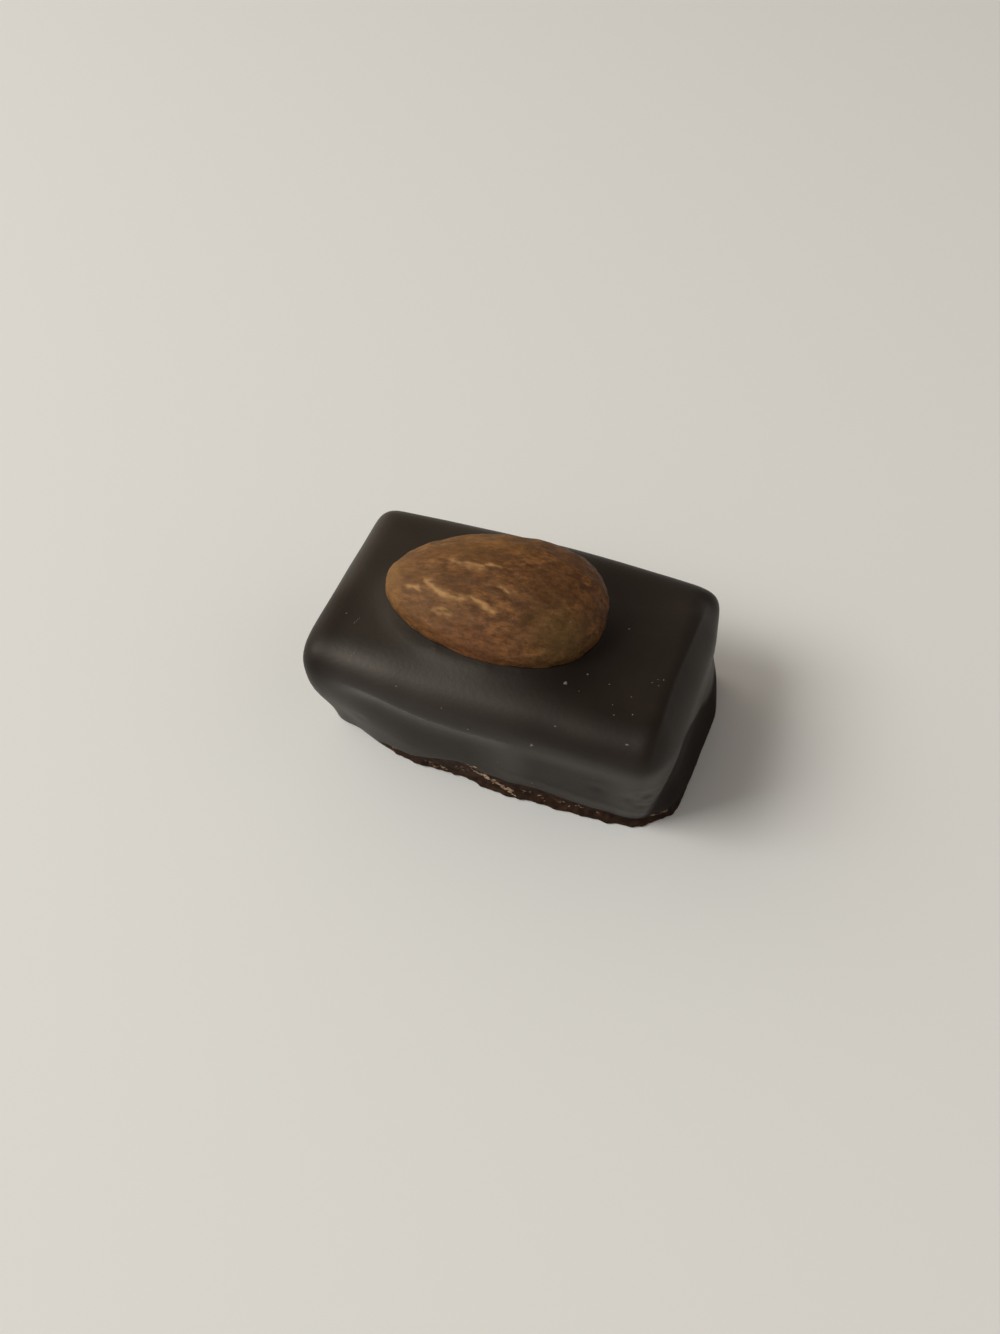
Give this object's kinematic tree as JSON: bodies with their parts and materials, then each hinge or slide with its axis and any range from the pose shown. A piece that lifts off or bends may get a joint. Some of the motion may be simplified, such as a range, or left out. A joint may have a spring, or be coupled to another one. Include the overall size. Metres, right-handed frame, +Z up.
{
  "type": "chocolate praline",
  "caption": "Oblong dipped chocolate with softly rolled edges and a ragged foot, topped by a whole almond in its skin.",
  "frame": {"origin": "middle of the flat base, at the centre of the bounding box seen from above", "axes": "+X along the sweet's long side, towards the almond's blunt end; +Y to its back; +Z up through the almond"},
  "size_m": [0.0396, 0.0252, 0.0211],
  "materials": {
    "dark_chocolate": "satin dark chocolate coat",
    "almond_skin": "matt wrinkled brown skin of a whole almond"
  },
  "bodies": {
    "root": {"chocolate": "dark_chocolate", "almond": "almond_skin"}
  },
  "joints": []
}
